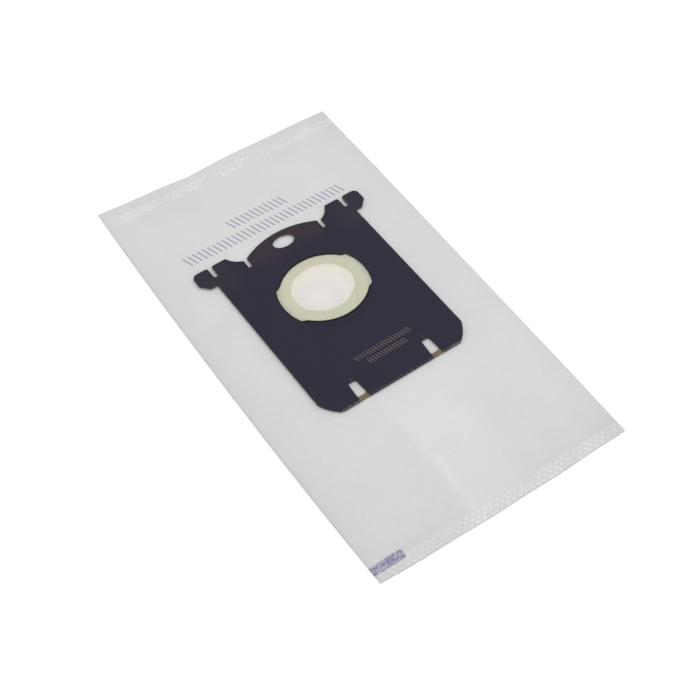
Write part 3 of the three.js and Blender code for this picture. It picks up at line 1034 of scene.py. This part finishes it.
def collar_copy():
    board = put_in_scene("folded_collar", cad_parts["collar_board"].data.copy())
    board.data.materials.clear()
    work = bmesh.new()
    work.from_mesh(board.data)
    bmesh.ops.remove_doubles(work, verts=work.verts, dist=SAME_POINT)
    bmesh.ops.dissolve_limit(
        work, angle_limit=math.radians(1), verts=work.verts, edges=work.edges
    )
    work.to_mesh(board.data)
    work.free()
    bevel = board.modifiers.new("worn edges", "BEVEL")
    bevel.width = EDGE_ROUND * MM
    bevel.segments = 2
    bevel.limit_method = "ANGLE"
    bevel.angle_limit = math.radians(40)
    board.data = baked(board)
    board.modifiers.clear()
    return board


def even_flat_faces(obj):
    """Lets the large flat faces set the shading, so that only the rounded edges turn it."""
    modifier = obj.modifiers.new("even shading", "WEIGHTED_NORMAL")
    modifier.keep_sharp = True
    modifier.weight = 100
    obj.data = baked(obj)
    obj.modifiers.clear()


collar = collar_copy()
clean_up(collar, math.radians(60))
even_flat_faces(collar)


# %% [markdown]
# ### Printed board
# The dark navy print covers the outside of both leaves. Where the die cuts, the bare brown
# board shows, and also on the two bridges of the lower leaf, in a nick above each slot and
# as a thin broken line where the print cracked over the fold. The flaps' hinge line is
# pressed in as a shallow score with painted shade in it, and a painted shadow darkens the
# flaps' rims. The tongue is a little redder and the ears a little lighter and redder, and
# two rows of fine strokes stand in for the small print.
# All places are measured from the inlet's middle, along and across the turned collar.

# %% Print on the board
NAVY = (0.0225, 0.0190, 0.0370, 1)
TONGUE_TINT = (0.037, 0.026, 0.036, 1)
EAR_TINT = (0.0290, 0.0245, 0.0395, 1)
SMALL_PRINT = (0.150, 0.116, 0.108, 1)
TONGUE_START, TONGUE_SIDES = (28, 42), (27, 22)
EAR_START, EAR_SIDES = (22, 32), (32, 42)
UPPER_ROW = {"Left": -31.8, "Right": 7.2, "Low": -53.0, "High": -49.6}
LOWER_ROW = {"Left": -27.3, "Right": -0.3, "Low": -58.0, "High": -54.6}
BOARD_STROKES = {"Pitch": 1.9, "Stroke": 0.30, "Slant": 0.3}


def board_print(tree, x, y):
    tongue = y.ramp(*TONGUE_START) * abs(x).ramp(*TONGUE_SIDES)
    ears = abs(x).ramp(*EAR_SIDES) * y.ramp(*EAR_START)
    colour = mix_colours(tree, tongue, NAVY, TONGUE_TINT)
    colour = mix_colours(tree, ears, colour, EAR_TINT)
    strokes = stroke_rows(tree, x, y, (UPPER_ROW, LOWER_ROW), BOARD_STROKES)
    return mix_colours(tree, strokes, colour, SMALL_PRINT)


# %% Bare board at the fold, slots and cuts
BARE_BOARD = (0.190, 0.145, 0.088, 1)
CRACKED_PRINT = (0.30, 0.265, 0.225, 1)
CUT_EDGE = (0.060, 0.047, 0.043, 1)
FOLD_BELOW_INLET = 74.9
CRACK_ABOVE_FOLD, CRACK_RUN = 0.45, (0.36, 0.14)
CRACK_CENTRE, CRACK_WEAR_RUN, CRACK_WEAR = 27, (-0.5, 1.5), (0.30, 0.75)
SLOT_MIDDLE, SLOT_FROM_MIDDLE, SLOT_HALF_WIDTH = -0.4, 25.0, 3.7
BRIDGE_DEPTH = 5.2
NICK_HALF_WIDTH, NICK_REACH, NICK_STRENGTH = 0.17, (13.2, 15.6), 0.5
STEEP, CUT_FROM_FOLD = (0.6, 0.25), 1.2


def bare_board(tree, x, y, z, ragged, colour):
    above_fold = y + FOLD_BELOW_INLET
    worn = (abs(x) - CRACK_CENTRE).ramp(*CRACK_WEAR_RUN, *CRACK_WEAR)
    cracked = abs(above_fold - CRACK_ABOVE_FOLD).ramp(*CRACK_RUN) * worn
    cracked = cracked * ragged.ramp(0.36, 0.60, 0.1)
    colour = mix_colours(tree, cracked, colour, CRACKED_PRINT)
    from_slot = abs(abs(x - SLOT_MIDDLE) - SLOT_FROM_MIDDLE)
    low_leaf = z < BAG_FULLNESS + LEAF + 0.1
    bridge = (from_slot < SLOT_HALF_WIDTH) * low_leaf * (above_fold < BRIDGE_DEPTH)
    colour = mix_colours(tree, bridge, colour, BARE_BOARD)
    nick = (from_slot < NICK_HALF_WIDTH) * above_fold.between(*NICK_REACH) * NICK_STRENGTH
    colour = mix_colours(tree, nick, colour, BARE_BOARD)
    facing = tree.nodes.new("ShaderNodeNewGeometry").outputs["True Normal"]
    upward = Field(tree, new_node(tree, "ShaderNodeSeparateXYZ", {0: facing}).outputs["Z"])
    cut = abs(upward).ramp(*STEEP) * (above_fold > CUT_FROM_FOLD)
    return mix_colours(tree, cut, colour, CUT_EDGE)


# %% Painted shade in the score and at the rim of the flaps
FLAP_SHADOW = (0.004, 0.0035, 0.005, 1)
HINGE_RADIUS, SCORE_RUN = 27.7, (0.75, 0.20)
FLAP_END, FLAP_ARC, FLAP_ARC_BEYOND = 13.0, 30.0, 7.05
SCORE_SHADE, LOWER_SCORE_SHADE = 0.10, 0.35
RIM_WIDTH, LOWER_RIM_WIDTH = 0.9, 1.2
RIM_RUN, RIM_SHADE = (1.0, 0.3), 0.9


def flap_shades(tree, x, y, ragged, colour):
    """The colour with painted shade in the flaps' score and a painted shadow along their rims, and
    how deep the score is pressed.
    """
    lower = y < 0
    on_flap = abs(y) > FLAP_END
    score = abs(distance(x, y) - HINGE_RADIUS).ramp(*SCORE_RUN) * on_flap
    # The score's darkening is painted shade, deeper on the lower flap.
    darkening = (lower * LOWER_SCORE_SHADE + SCORE_SHADE) * ragged.ramp(0.35, 0.6, 0.5)
    colour = mix_colours(tree, score * darkening, colour, FLAP_SHADOW)
    # A painted shadow along the flaps' rims.
    to_rim = distance(abs(y) + FLAP_ARC_BEYOND, x) - FLAP_ARC
    rim = (to_rim / (lower * LOWER_RIM_WIDTH + RIM_WIDTH)).ramp(*RIM_RUN) * RIM_SHADE
    return mix_colours(tree, rim * on_flap, colour, FLAP_SHADOW), score


# %% Board material
BOARD_CLOUDS = (18.0, 0.10), (0.9, 0.12)
RAGGED_PER_METRE, GRAINS_PER_METRE, WAVES_PER_METRE = 900.0, 2200.0, 45.0
WAVE_HEIGHT, SCORE_HEIGHT = 2.0, -1.6
BOARD_BUMP = {"strength": 0.25, "depth": 0.12 * MM}


def board_material():
    material, tree, shader, place = new_material("printed_board")
    collar_place = {
        "Vector": place,
        "Location": (INLET.x * MM, INLET.y * MM, 0),
        "Rotation": (0, 0, COLLAR_TURN),
    }
    turned = new_node(tree, "ShaderNodeMapping", collar_place, vector_type="TEXTURE").outputs[0]
    x, y, z = split_mm(tree, turned)
    ragged = noise(tree, place, RAGGED_PER_METRE, 3.0)
    grain = noise(tree, place, GRAINS_PER_METRE, 4.0, 0.6)
    colour = bare_board(tree, x, y, z, ragged, board_print(tree, x, y))
    colour, score = flap_shades(tree, x, y, ragged, colour)
    shade = clouded(tree, place, *BOARD_CLOUDS)
    finish = {
        "Base Color": mix_colours(tree, 1.0, colour, shade, "MULTIPLY"),
        "Roughness": grain.ramp(0.3, 0.7, 0.50, 0.66),
        "Specular IOR Level": 0.15,
    }
    plug(tree, shader, finish)
    waves = noise(tree, place, WAVES_PER_METRE, 2.0)
    height = waves * WAVE_HEIGHT + score * SCORE_HEIGHT + grain
    add_bump(tree, shader, height, **BOARD_BUMP)
    return material


collar.data.materials.append(board_material())
collar.data.polygons.foreach_set("material_index", [0] * len(collar.data.polygons))
print("board material on", len(collar.data.polygons), "faces")


# %% [markdown]
# ## The elastic film
# Behind the collar's hole lies a thin elastic film with an oval hole, which seals round
# the cleaner's nozzle. It is held all round between the leaves and hangs free inside, so
# it sags a little towards its hole and its rim waves slightly. It is built from rings of
# points between the round rim and the oval hole, above and below, and its last ring is
# joined to its first.

# %% Make the film
FILM_THICKNESS = 0.4
FILM_RIM = 34.0
FILM_HOLE = (19.0, 16.2)
FILM_HOLE_MIDDLE = Vector((-0.3, 1.1))
FILM_HELD_FROM = FLEECE_HOLE - 0.6
FILM_SAG, FILM_SAG_RUN = 0.4, 8
FILM_RINGS = 26
FILM_POINTS = 144


def oval_point(radius_x, radius_y, angle):
    return Vector((radius_x * math.cos(angle), radius_y * math.sin(angle)))


def film_point(angle, t, top):
    """t runs from the oval hole (0) to the rim (1)."""
    uneven = 1 + 0.008 * math.cos(5 * angle + 1) + 0.006 * math.cos(9 * angle)
    hole = oval_point(*FILM_HOLE, angle) * uneven + FILM_HOLE_MIDDLE
    flat = hole.lerp(oval_point(FILM_RIM, FILM_RIM, angle), t)
    free = float(smooth(np.float64((FILM_HELD_FROM - flat.length) / FILM_SAG_RUN)))
    wave = 0.25 * math.cos(3 * angle + 0.6) + 0.12 * math.cos(7 * angle)
    z = film_low.z / MM - free * FILM_SAG * (1 + wave) + (FILM_THICKNESS if top else 0)
    x = INLET.x + flat.x * TURN_COS - flat.y * TURN_SIN
    y = INLET.y + flat.x * TURN_SIN + flat.y * TURN_COS
    return (x * MM, y * MM, z * MM)


def film_mesh():
    loops = [(t, True) for t in np.linspace(0, 1, FILM_RINGS)]
    loops += [(t, False) for t in np.linspace(1, 0, FILM_RINGS)]
    angles = [2 * math.pi * i / FILM_POINTS for i in range(FILM_POINTS)]
    points = [film_point(angle, float(t), top) for t, top in loops for angle in angles]
    quads = np.roll(tube_quads(len(loops) + 1, FILM_POINTS, 0)[:, ::-1], 1, axis=1)
    mesh = bpy.data.meshes.new("elastic_film")
    mesh.from_pydata(points, [], (quads % len(points)).tolist())
    return mesh


film = put_in_scene("elastic_film", film_mesh())
clean_up(film, math.radians(60))


# %% Film material
FILM_COLOUR = (0.530, 0.530, 0.428, 1)
FILM_CLOUDS = (9.0, 0.05)
RIPPLES_PER_METRE = 260.0
FILM_BUMP = {"strength": 0.25, "depth": 0.2 * MM}


def film_material():
    material, tree, shader, place = new_material("elastic_film")
    clouds = clouded(tree, place, FILM_CLOUDS)
    ripple = noise(tree, place, RIPPLES_PER_METRE, 3.0)
    finish = {
        "Base Color": mix_colours(tree, 1.0, FILM_COLOUR, clouds, "MULTIPLY"),
        "Roughness": ripple.ramp(0.35, 0.65, 0.42, 0.55),
        "Specular IOR Level": 0.4,
        "Subsurface Weight": 0.7,
        "Subsurface Radius": (1.0, 1.0, 0.8),
        "Subsurface Scale": 1.5 * MM,
    }
    plug(tree, shader, finish)
    add_bump(tree, shader, ripple, **FILM_BUMP)
    return material


film.data.materials.append(film_material())
print("film box mm", [round(c / MM, 2) for c in film.dimensions])

# %% [markdown]
# ## Floor and light
# The photograph shows the bag cut out on white. A plain floor carries the object's soft
# shadow. To the camera, and in gloss, it is lifted to white, without putting more light on
# the bag. The light is soft and comes mostly from above, a little more from the upper
# right of the picture, which leaves the left sides of the creases a touch darker.

# %% Floor
FLOOR_SIZE = 6.0
FLOOR_COLOUR = (0.86, 0.86, 0.86, 1)
FLOOR_LIFT = 0.42


def floor_material():
    """Plain to the rays that light the bag, and lifted to white for those that show it."""
    material = bpy.data.materials.new("floor")
    material.use_nodes = True
    tree = material.node_tree
    tree.nodes.clear()
    plain = new_node(tree, "ShaderNodeBsdfDiffuse", {"Color": FLOOR_COLOUR}).outputs[0]
    glow = new_node(tree, "ShaderNodeEmission", {"Strength": FLOOR_LIFT}).outputs[0]
    lifted = new_node(tree, "ShaderNodeAddShader", {0: plain, 1: glow}).outputs[0]
    rays = tree.nodes.new("ShaderNodeLightPath").outputs
    seen = compute(tree, "MAXIMUM", rays["Is Camera Ray"], rays["Is Glossy Ray"])
    seen = compute(tree, "MAXIMUM", seen, rays["Is Transmission Ray"])
    surface = new_node(tree, "ShaderNodeMixShader", {"Fac": seen, 1: plain, 2: lifted}).outputs[0]
    new_node(tree, "ShaderNodeOutputMaterial", {"Surface": surface})
    return material


bpy.ops.mesh.primitive_plane_add(size=FLOOR_SIZE, location=(0, 0, 0))
floor = bpy.context.object
floor.name = "floor"
floor.data.materials.append(floor_material())


# %% Light
KEY_PLACE = Vector((1.65, 0.90, 3.00))
KEY_SIZE = 2.7
KEY_POWER = 28.0
SKY_FOR_BAG = 0.80
SKY_FOR_CAMERA = 0.20

key_data = bpy.data.lights.new("key", "AREA")
key_data.shape = "DISK"
key_data.size = KEY_SIZE
key_data.energy = KEY_POWER
key = put_in_scene("key", key_data)
key.location = KEY_PLACE
key.rotation_euler = (-KEY_PLACE).to_track_quat("-Z", "Y").to_euler()

world = bpy.data.worlds.new("studio")
scene.world = world
world.use_nodes = True
sky = world.node_tree
seen = Field(sky, sky.nodes.new("ShaderNodeLightPath").outputs["Is Camera Ray"])
strength = seen * SKY_FOR_CAMERA + SKY_FOR_BAG
plug(sky, sky.nodes["Background"], {"Color": (1, 1, 1, 1), "Strength": strength})
scene.view_settings.view_transform = "Standard"
print("key light", key.location, "power", key_data.energy)

# %% [markdown]
# ## The pieces on the body
# Each piece rides with the object's one body and stands for its CAD node, whose solid is hidden.

for piece, node, finish in (
    (bag, "filter_bag", "fleece"),
    (collar, "collar_board", "board"),
    (film, "seal_membrane", "elastic_film"),
):
    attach(piece, "root")
    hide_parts(node)
